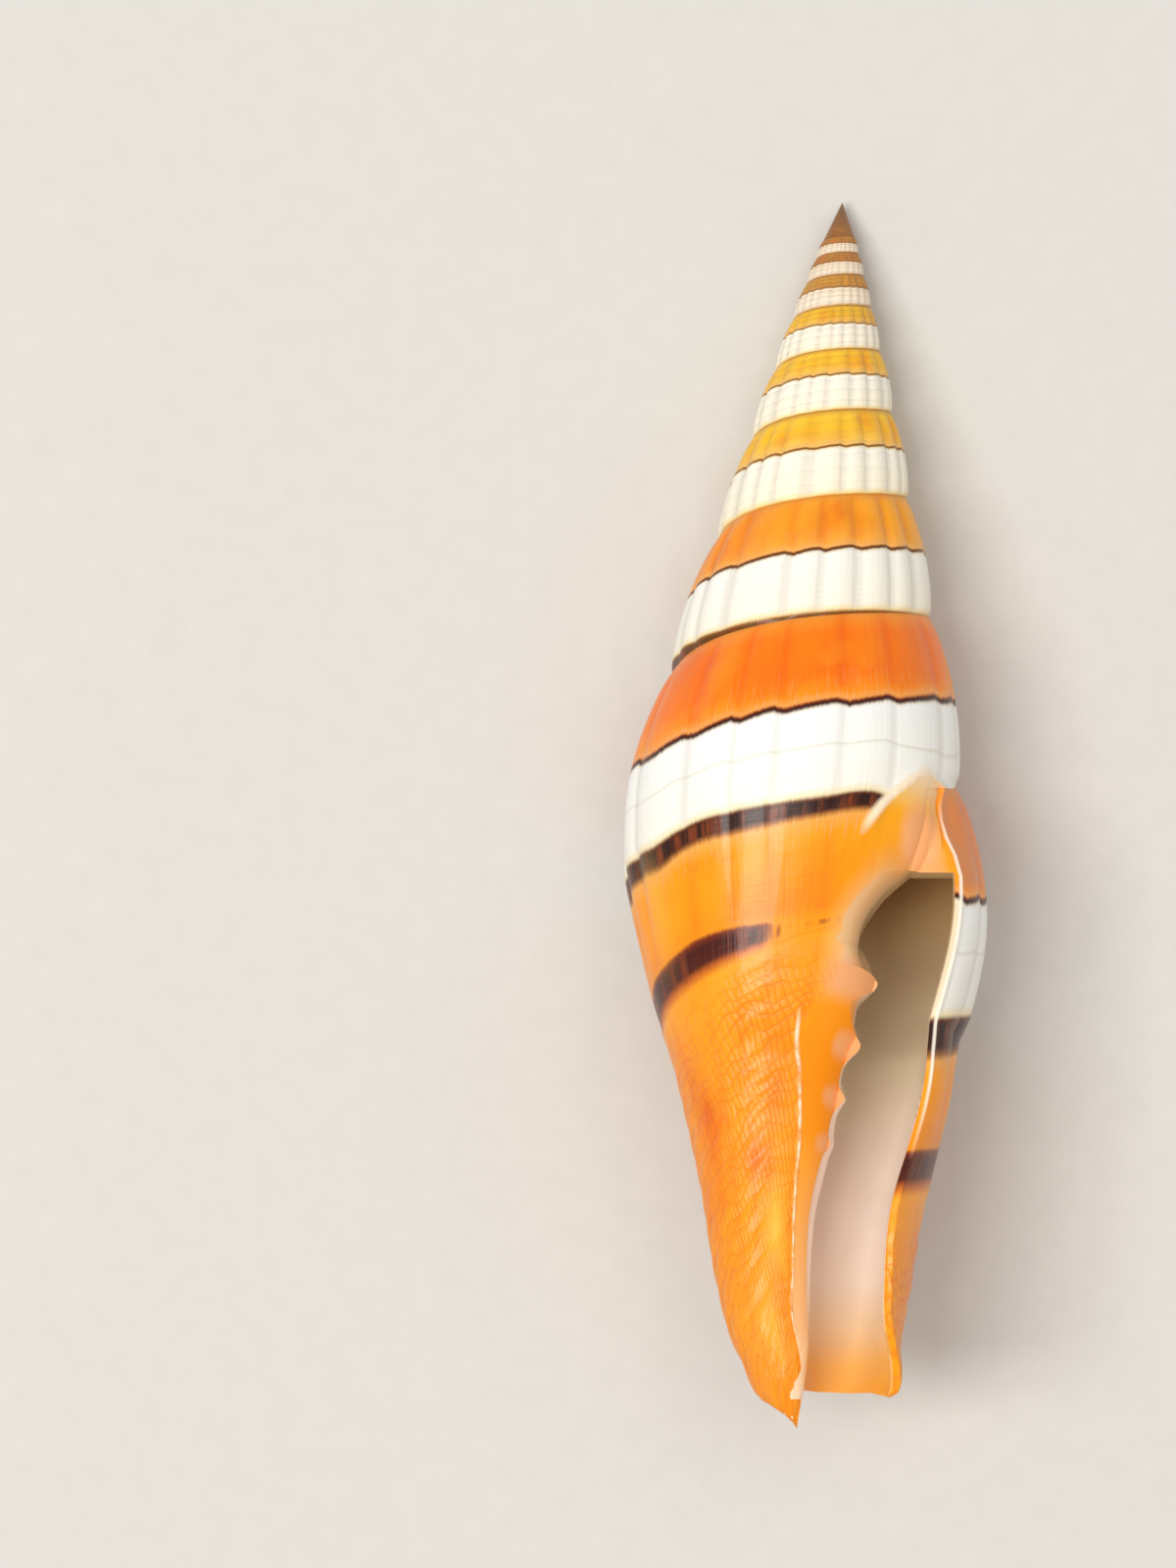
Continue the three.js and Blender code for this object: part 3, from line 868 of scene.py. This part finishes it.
def outside_values(add, cord_spacing):
    """What the layers of the outside share."""
    names = ("turn", "band", "depth", "callus", "crest", "rim", "cord", "red", "yellow")
    skin = SimpleNamespace(**{name: carried(add, name) for name in names})

    # Axial streaks, about 0.6 mm wide on the body whorl, finer fibres, and clouds
    skin.streak = grown_noise(add, 90, 1.6, 3.0)
    skin.fibre = grown_noise(add, 420, 7, 2.0)
    skin.cloud = grown_noise(add, 14, 2.6, 2.0)

    # The bands' borders wander by a few thousandths of the whorl
    wander = add("MapRange", {"Value": skin.fibre, 1: 0.25, 2: 0.75, 3: -0.004, 4: 0.004})
    shifted = add("Math", {0: skin.band, 1: wander}, operation="ADD")
    skin.across = add("Math", {0: shifted, 1: 0.5}, operation="MULTIPLY")

    # The spire has paler bands and calmer streaks
    skin.on_spire = add("MapRange", {"Value": skin.turn, 1: 8.75, 2: 7.3})
    skin.calmer = add("MapRange", {"Value": skin.on_spire, 3: 1.0, 4: 0.45})
    skin.orange = add("ValToRGB", {"Fac": skin.across}, stops=[
        (0.0, 0.5), (0.03, 1.0), (0.2, 0.9), (0.23, 0.0), (0.56, 0.0), (0.62, 0.45), (0.8, 0.5),
        (0.82, 0.0), (0.89, 0.0), (0.93, 0.4), (1.0, 0.4),
    ])

    # On the base, cords about 0.7 mm wide and growth lines 0.5 mm apart part it into grains
    waver = add("MapRange", {"Value": skin.cloud, 1: 0.2, 2: 0.8, 3: -0.06, 4: 0.06})
    spiral = add("Math", {0: skin.cord, 1: waver}, operation="ADD")
    cords = add("Math", {0: spiral, 1: math.pi / cord_spacing}, operation="MULTIPLY")
    lean = add("Math", {0: spiral, 1: 0.16, 2: skin.turn}, operation="MULTIPLY_ADD")
    growing = add("Math", {0: lean, 1: 92 * math.pi}, operation="MULTIPLY")
    skin.grains = add(
        "Math", {0: ridges(add, cords, 0.4), 1: ridges(add, growing, 0.4)}, operation="MULTIPLY"
    )
    on_base = add("MapRange", {"Value": spiral, 1: 1.6, 2: 1.8})
    smoother = add("MapRange", {"Value": skin.yellow, 3: 1.0, 4: 0.25})
    skin.grained = add("Math", {0: on_base, 1: smoother}, operation="MULTIPLY")
    return skin


def ground(add, skin, colours):
    """The bands of the last whorls, and layers for the spire, its tip and its nucleus."""
    shoulder, base = tuple(colours.shoulder), tuple(colours.base)
    # The peach stops just above the fine line and just below the upper dark band are painted highlight
    body = add("ValToRGB", {"Fac": skin.across}, stops=[
        (0.0, "F09A40"), (0.012, "FF9420"), (0.05, shoulder), (0.17, shoulder),
        (0.215, "FF9210"), (0.236, "F7A350"), (0.241, "8A3408"), (0.245, "3E1606"),
        (0.252, "3E1606"), (0.257, "E8DCCC"), (0.263, tuple(colours.white)), (0.47, "F8F6EC"),
        (0.49, "F6E4B8"), (0.499, "6A3216"), (0.506, tuple(colours.dark)), (0.538, "3A160A"),
        (0.548, "A0642C"), (0.562, "F4A848"), (0.6, "FFA008"), (0.73, base), (0.816, "F59208"),
        (0.826, "7A2A08"), (0.838, "421006"), (0.866, "4C1408"), (0.877, "C0601A"),
        (0.9, "FFA41A"), (1.0, "FF9C0C"),
    ])
    spire = add("ValToRGB", {"Fac": skin.across}, stops=[
        (0.0, "A8741C"), (0.012, "E4AE40"), (0.04, "FFCC38"), (0.13, "FFC62C"), (0.2, "FFC94E"),
        (0.236, "F6C670"), (0.241, "9A5C12"), (0.25, "7E440C"), (0.256, "F0DCA8"),
        (0.268, "FFFAEC"), (0.46, "FFF5DC"), (0.484, "F8E0A4"), (0.494, "DA9C30"),
        (0.51, "9A641A"), (1.0, "9A641A"),
    ])
    tip = add("ValToRGB", {"Fac": skin.across}, stops=[
        (0.0, "8A5428"), (0.03, "BE8448"), (0.2, "B87A3C"), (0.245, "9A6030"), (0.262, "F6DFC0"),
        (0.45, "FAE8D0"), (0.49, "C89460"), (1.0, "8A5428"),
    ])
    from_apex = add("MapRange", {"Value": skin.depth, 1: 0.03, 2: 0.26})
    nucleus = add("ValToRGB", {"Fac": from_apex}, stops=[
        (0.0, "E4C0A0"), (0.25, "BC8660"), (0.6, "A87040"), (1.0, "B07A40"),
    ])
    on_tip = add("MapRange", {"Value": skin.turn, 1: 5.4, 2: 3.9})
    on_nucleus = add("MapRange", {"Value": skin.depth, 1: 0.26, 2: 0.2})
    return body, [(skin.on_spire, spire), (on_tip, tip), (on_nucleus, nucleus)]


def reds(add, skin, colours):
    """Redder painted shade in the rib grooves and redder streaks, on the orange fields alone."""
    # Painted shade: the grooves between the ribs are deeper orange
    groove = add("MapRange", {"Value": skin.crest, 1: 0.85, 2: 0.34, 3: 0.0, 4: 0.45})
    streaks = add("MapRange", {"Value": skin.streak, 1: 0.52, 2: 0.75, 3: 0.0, 4: 0.3})
    clouds = add("MapRange", {"Value": skin.cloud, 1: 0.5, 2: 0.72, 3: 0.0, 4: 0.35})
    amount = add("Math", {0: groove, 1: streaks}, operation="MAXIMUM")
    amount = add("Math", {0: amount, 1: clouds}, operation="ADD", use_clamp=True)
    off_lip = add("MapRange", {"Value": skin.turn, 1: 9.995, 2: 9.96})
    for share in (skin.orange, off_lip, skin.calmer):
        amount = add("Math", {0: amount, 1: share}, operation="MULTIPLY")
    deeper = add(
        "Mix", {"Factor": skin.on_spire, 6: rgba(colours.red), 7: "C8871C"}, out=2,
        data_type="RGBA",
    )
    return [(amount, deeper)]


def patches(add, skin):
    """Painted shade between the grains, the red and yellow patches and wide clouds, all mottled."""
    # Painted shade: darker orange between the grains of the base
    between = add("MapRange", {"Value": skin.grains, 1: 0.75, 2: 0.3, 3: 0.0, 4: 0.5})
    between = add("Math", {0: between, 1: skin.grained}, operation="MULTIPLY")
    wide_cloud = grown_noise(add, 9, 1.6, 3.0)
    amber = add("MapRange", {"Value": wide_cloud, 1: 0.52, 2: 0.66, 3: 0.0, 4: 0.6})
    ember = add("MapRange", {"Value": wide_cloud, 1: 0.46, 2: 0.34, 3: 0.0, 4: 0.9})
    for share in (skin.orange, skin.calmer):
        amber = add("Math", {0: amber, 1: share}, operation="MULTIPLY")
        ember = add("Math", {0: ember, 1: share}, operation="MULTIPLY")
    mottled = add("MapRange", {"Value": skin.cloud, 1: 0.3, 2: 0.65, 3: 0.35, 4: 1.0})
    return [
        (add("Math", {0: amount, 1: mottled}, operation="MULTIPLY"), code)
        for amount, code in (
            (between, "E86E00"), (skin.red, "E05400"), (skin.yellow, "FFC23A"), (amber, "FFB41E"),
            (ember, "EE7000"),
        )
    ]


def marks(add, skin, colours):
    """Marks that each keep to a field of their own between the sutures."""
    ragged = add("Math", {0: skin.streak, 1: 0.05, 2: skin.turn}, operation="MULTIPLY_ADD")
    faded = add("MapRange", {"Value": ragged, 1: 9.208, 2: 9.19})
    hairline = add("MapRange", {"Value": skin.turn, 1: 8.75, 2: 8.95, 3: 0.0, 4: 0.4})
    # Painted shade in the grooves of the white band
    grooves = add("MapRange", {"Value": skin.crest, 1: 0.62, 2: 0.34, 3: 0.0, 4: 0.3})
    # Painted highlight: pale glints of the light on the fine striae, faint on the base too
    painted_glints = add("MapRange", {"Value": skin.fibre, 1: 0.52, 2: 0.66, 3: 0.0, 4: 0.85})
    hatch = add("MapRange", {"Value": skin.streak, 1: 0.47, 2: 0.62})
    fields = (
        # The lower dark band fades out ahead of the glaze
        (faded, rgba(colours.base), [(0.79, 0.0), (0.818, 1.0), (0.885, 1.0), (0.91, 0.0)]),
        # A faint olive hairline runs round the white band of the last whorl and a half
        (hairline, "B4AE74", [(0.356, 0.0), (0.3605, 1.0), (0.365, 0.0)]),
        # Painted shade: grey in the grooves of the white band
        (grooves, "C2BDB4", WHITE_FIELD),
        # Painted highlight: pale streaks of glint below the upper dark band and above the fine line
        (painted_glints, rgba(colours.peach), [
            (0.12, 0.0), (0.2, 0.3), (0.232, 0.8), (0.24, 0.0), (0.55, 0.0), (0.562, 0.9),
            (0.64, 0.0), (0.89, 0.0), (0.93, 0.12), (1.0, 0.12),
        ]),
        # The dark bands are hatched with lighter brown along the growth lines
        (hatch, "8A3E14", [
            (0.495, 0.0), (0.51, 0.7), (0.535, 0.7), (0.55, 0.0), (0.82, 0.0), (0.84, 0.6),
            (0.865, 0.6), (0.88, 0.0),
        ]),
    )
    layers = []
    for amount, over, stops in fields:
        field = add("ValToRGB", {"Fac": skin.across}, stops=stops)
        layers.append((add("Math", {0: amount, 1: field}, operation="MULTIPLY"), over))
    return layers


def lip(add, skin):
    """Peach-brown near the suture, the end face, and a painted highlight: a pale line along the edge."""
    near_lip = add("MapRange", {"Value": skin.turn, 1: 9.9, 2: 9.96})
    above_line = add("MapRange", {"Value": skin.across, 1: 0.232, 2: 0.205})
    end_face = add("MapRange", {"Value": skin.turn, 1: 9.996, 2: 9.999})
    off_face = add("Math", {0: 1.0, 1: end_face}, operation="SUBTRACT")
    peachy = near_lip
    for share in (above_line, off_face, 0.8):
        peachy = add("Math", {0: peachy, 1: share}, operation="MULTIPLY")
    face_orange = add("Math", {0: end_face, 1: above_line}, operation="MULTIPLY")
    white = add("ValToRGB", {"Fac": skin.across}, stops=WHITE_FIELD)
    face_white = add("Math", {0: end_face, 1: white}, operation="MULTIPLY")
    # Painted highlight: a pale line along the lip's rounded edge, fading at both ends down the lip
    at_edge = add("MapRange", {"Value": skin.turn, 1: 9.985, 2: 10.0})
    edge = add("ValToRGB", {"Fac": at_edge}, stops=[
        (0.0, 0.0), (0.68, 0.0), (0.77, 1.0), (0.87, 1.0), (0.94, 0.0),
    ])
    down_lip = add("MapRange", {"Value": skin.depth, 1: 3.3, 2: 5.3})
    wear_and_highlight = add("ValToRGB", {"Fac": down_lip}, stops=[
        (0.0, 0.0), (0.12, 0.8), (0.75, 0.8), (1.0, 0.0),
    ])
    edge = add("Math", {0: edge, 1: wear_and_highlight}, operation="MULTIPLY")
    return [
        (peachy, "DC8C52"), (face_orange, "FF9C14"), (face_white, "EDDCBA"), (edge, "FFF4E2"),
    ]


def callus(add, skin):
    """The glaze beside the mouth, and its pale rim, which is uneven below the folds."""
    covered = add("MapRange", {"Value": skin.callus, 1: 0.1, 2: 0.9, 3: 0.0, 4: 0.97})
    rim = add("MapRange", {"Value": skin.rim, 1: 0.2, 2: 0.8})
    beads = add("TexNoise", {"Vector": add("TexCoord", out=3), "Scale": 1400.0, "Detail": 2.0})
    uneven = add("MapRange", {"Value": beads, 1: 0.38, 2: 0.6, 3: 0.1, 4: 0.85})
    at_top = add("MapRange", {"Value": skin.depth, 1: 4.2, 2: 3.8})
    uneven = add("Math", {0: uneven, 1: at_top}, operation="MAXIMUM")
    rim = add("Math", {0: rim, 1: uneven}, operation="MULTIPLY")
    return [(covered, mouth_glaze(add, skin.depth)), (rim, "FFEACA")]


def outside_relief(add, skin):
    """Growth lines 0.25 mm apart, striae 0.3 mm apart, the base's grains and the spire's threads."""
    lines = grown_noise(add, 260, 4, 3.0)
    striae = grown_noise(add, 9, 46, 2.0)
    height = add("Math", {0: lines, 1: striae}, operation="ADD")
    raised = add("Math", {0: skin.grained, 1: 1.6}, operation="MULTIPLY")
    raised = add("Math", {0: skin.grains, 1: raised}, operation="MULTIPLY")
    height = add("Math", {0: height, 1: raised}, operation="ADD")

    # Spiral threads about a seventh of a whorl apart cross the ribs of the early whorls
    threads = add("Math", {0: skin.band, 1: 7 * math.pi}, operation="MULTIPLY")
    early = add("MapRange", {"Value": skin.turn, 1: 8.2, 2: 6.6, 3: 0.15, 4: 1.6})
    threads = add("Math", {0: ridges(add, threads, 0.5), 1: early}, operation="MULTIPLY")
    height = add("Math", {0: height, 1: threads}, operation="ADD")

    smooth_glaze = add("MapRange", {"Value": skin.callus, 1: 0.0, 2: 1.0, 3: 1.0, 4: 0.1})
    height = add("Math", {0: height, 1: smooth_glaze}, operation="MULTIPLY")
    return add("Bump", {"Strength": 0.5, "Distance": 0.00006, "Height": height})


def glazed_outside(colours, cord_spacing):
    """Crossed-lamellar aragonite, polished by nature: satin gloss, banded along the growth."""
    material, add = emptied_material("glazed_shell")
    skin = outside_values(add, cord_spacing)
    colour, layers = ground(add, skin, colours)
    layers += reds(add, skin, colours) + patches(add, skin) + marks(add, skin, colours)
    layers += lip(add, skin) + callus(add, skin)
    for amount, over in layers:
        colour = add("Mix", {"Factor": amount, 6: colour, 7: over}, out=2, data_type="RGBA")
    shader = add("BsdfPrincipled", {
        "Base Color": colour, "Roughness": 0.34, "IOR": 1.58, "Specular IOR Level": 0.2,
        "Normal": outside_relief(add, skin), "Coat Weight": 0.12, "Coat Roughness": 0.1,
    })
    add("OutputMaterial", {"Surface": shader})
    return material


def porcelain_inside():
    """Smooth inner glaze: glossy, tan at the top, then cream and pink, orange at the canal."""
    material, add = emptied_material("porcelain_lining")
    turn, depth, outer = (carried(add, name) for name in ("turn", "depth", "callus"))
    at = add("MapRange", {"Value": depth, 1: 3.6, 2: 6.7})
    lining = add("ValToRGB", {"Fac": at}, stops=[
        (0.0, "C69E66"), (0.065, "DCBC88"), (0.13, "E8CFA6"), (0.226, "F2DFBC"),
        (0.355, "F8E8CC"), (0.45, "FDEBDA"), (0.58, "FFECE0"), (0.71, "FFEEDE"),
        (0.79, "FEDCB0"), (0.855, "FFBC5C"), (0.935, "FA9E24"), (1.0, "F89A18"),
    ])
    rolled_over = add("MapRange", {"Value": turn, 1: 9.96, 2: 10.3})
    on_columella = add("MapRange", {"Value": outer, 1: 0.0, 2: 0.5, 3: 1.0, 4: 0.0})
    rolled_over = add("Math", {0: rolled_over, 1: on_columella}, operation="MULTIPLY")
    at_object = add("TexCoord", out=3)
    cloud = add("TexNoise", {"Vector": at_object, "Scale": 260.0, "Detail": 2.0})
    tint = add("MapRange", {"Value": cloud, 1: 0.35, 2: 0.7, 3: 0.0, 4: 0.18})
    colour = lining
    for amount, over in ((rolled_over, mouth_glaze(add, depth)), (tint, "E8BE98")):
        colour = add("Mix", {"Factor": amount, 6: colour, 7: over}, out=2, data_type="RGBA")
    height = add("TexNoise", {"Vector": at_object, "Scale": 900.0})
    bump = add("Bump", {"Strength": 0.1, "Distance": 0.00005, "Height": height})
    shader = add("BsdfPrincipled", {
        "Base Color": colour, "Roughness": 0.22, "IOR": 1.58, "Normal": bump,
        "Coat Weight": 0.6, "Coat Roughness": 0.08,
    })
    add("OutputMaterial", {"Surface": shader})
    return material


class SHELL_OT_glaze(Operator):
    """Give the shell its banded glaze outside and its lining inside"""

    bl_idname = "shell.glaze"
    bl_label = "Glaze the Shell"

    def execute(self, context):
        skin = bpy.data.objects["shell_skin"]
        skin.data.materials[0] = glazed_outside(
            context.scene.shell_colours, context.scene.shell_sizes.cord_spacing
        )
        skin.data.materials[1] = porcelain_inside()
        return {"FINISHED"}


# Studio


def area_light(name, at, target, size, power, colour):
    light = bpy.data.lights.new(name, "AREA")
    light.shape = "RECTANGLE"
    light.size, light.size_y = size
    light.energy = power
    light.color = colour
    lamp = bpy.data.objects.new(name, light)
    bpy.context.scene.collection.objects.link(lamp)
    lamp.location = at
    lamp.rotation_euler = (Vector(target) - Vector(at)).to_track_quat("-Z", "Y").to_euler()
    return lamp


class SHELL_OT_studio(Operator):
    """Lay the pale floor, hang the lights and set the camera over the shell"""

    bl_idname = "shell.studio"
    bl_label = "Build the Studio"

    def execute(self, context):
        studio = context.scene.shell_studio
        bpy.ops.object.select_all(action="DESELECT")
        bpy.ops.mesh.primitive_plane_add(size=4, location=(0, 0, 0))
        floor = context.object
        floor.name = "floor"
        material, add = emptied_material("matt_paper")
        grain = add("TexNoise", {"Vector": add("TexCoord", out=3), "Scale": 700.0})
        tint = add("ValToRGB", {"Fac": grain}, stops=[
            (0.3, tuple(c * 0.97 for c in studio.floor)), (0.7, tuple(studio.floor)),
        ])
        shader = add("BsdfPrincipled", {"Base Color": tint, "Roughness": 0.85})
        add("OutputMaterial", {"Surface": shader})
        floor.data.materials.append(material)

        area_light(
            "key", (-0.17, -0.04, 0.54), (0, 0, 0), (0.14, 0.3), studio.key, linear("FFFDF8")
        )
        area_light(
            "side", (0.12, 0.1, 0.6), (0, 0, 0), (0.3, 0.3), studio.side, linear("FFF8F0")
        )
        world = bpy.data.worlds.new("studio")
        world.use_nodes = True
        sky = world.node_tree.nodes["Background"]
        sky.inputs["Color"].default_value = rgba("FFFDFA")
        sky.inputs["Strength"].default_value = studio.sky
        context.scene.world = world
        context.scene.view_settings.view_transform = "Standard"

        # The camera looks down on the shell, square to the picture that shows its mouth
        turned = (
            Matrix.Rotation(math.radians(VIEW_TURN), 3, "Z")
            @ Matrix.Rotation(math.radians(VIEW_LEAN), 3, "X")
            @ Matrix.Rotation(math.radians(-REST_ROLL), 3, "Y")
            @ Matrix.Rotation(math.radians(-REST_PITCH), 3, "X")
        ).transposed()
        data = bpy.data.cameras.new("camera")
        data.lens = studio.lens
        data.sensor_width = 36
        camera = bpy.data.objects.new("camera", data)
        context.scene.collection.objects.link(camera)
        distance = studio.lens / data.sensor_width * studio.frame_height
        centre = Vector(VIEW_MIDDLE) * MM + Vector((0, 0, distance))
        camera.rotation_euler = turned.to_euler()
        camera.location = Vector(REST_SHIFT) * MM + turned @ centre
        data.clip_start, data.clip_end = 0.05, 10
        context.scene.camera = camera
        return {"FINISHED"}


class SHELL_PT_panel(Panel):
    """Lists the steps and their sizes and colours"""

    bl_label = "Ribboned Mitre Shell"
    bl_space_type = "VIEW_3D"
    bl_region_type = "UI"
    bl_category = "Shell"

    def draw(self, context):
        layout = self.layout
        for group in ("shell_sizes", "shell_colours", "shell_studio"):
            values = getattr(context.scene, group)
            for name in values.__annotations__:
                layout.prop(values, name)
        for step in STEPS:
            layout.operator(step.bl_idname)


STEPS = (SHELL_OT_coil_wall, SHELL_OT_cut_mouth, SHELL_OT_glaze, SHELL_OT_studio)
CLASSES = (ShellSizes, ShellColours, StudioSettings, *STEPS, SHELL_PT_panel)


def register():
    for one in CLASSES:
        bpy.utils.register_class(one)
    bpy.types.Scene.shell_sizes = PointerProperty(type=ShellSizes)
    bpy.types.Scene.shell_colours = PointerProperty(type=ShellColours)
    bpy.types.Scene.shell_studio = PointerProperty(type=StudioSettings)


def unregister():
    for name in ("shell_sizes", "shell_colours", "shell_studio"):
        delattr(bpy.types.Scene, name)
    for one in reversed(CLASSES):
        bpy.utils.unregister_class(one)


def main():
    register()
    bpy.ops.shell.coil_wall()
    bpy.ops.shell.cut_mouth()
    bpy.ops.shell.glaze()
    bpy.ops.shell.studio()


if __name__ == "__main__":
    main()
